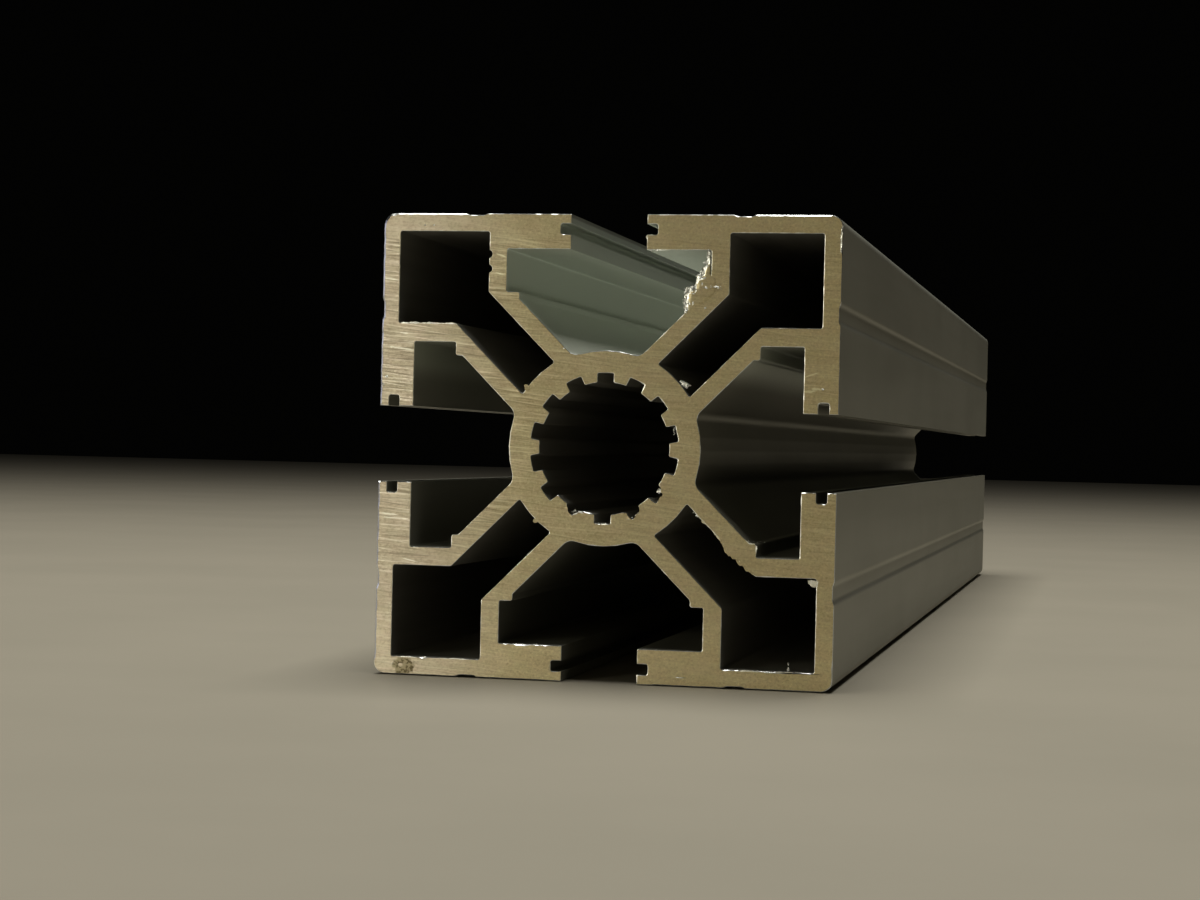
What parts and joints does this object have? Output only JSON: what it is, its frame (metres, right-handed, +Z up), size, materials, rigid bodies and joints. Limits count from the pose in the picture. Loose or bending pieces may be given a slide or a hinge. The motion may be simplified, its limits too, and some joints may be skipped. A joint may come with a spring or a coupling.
{
  "type": "aluminium extrusion profile",
  "caption": "Square aluminium T-slot extrusion, sawn to length, with a T-slot in each side, hollow corner chambers and a toothed round core bore.",
  "frame": {"origin": "middle of the bottom face, at half the length", "axes": "+Y along the length, away from the sawn end in the picture; +Z up; +X to the right seen from that end"},
  "size_m": [0.06, 0.33, 0.06],
  "materials": {
    "anodised_aluminium": "matt anodised skin, bare sawn ends"
  },
  "bodies": {
    "root": {"extrusion_profile": "anodised_aluminium"}
  },
  "joints": []
}
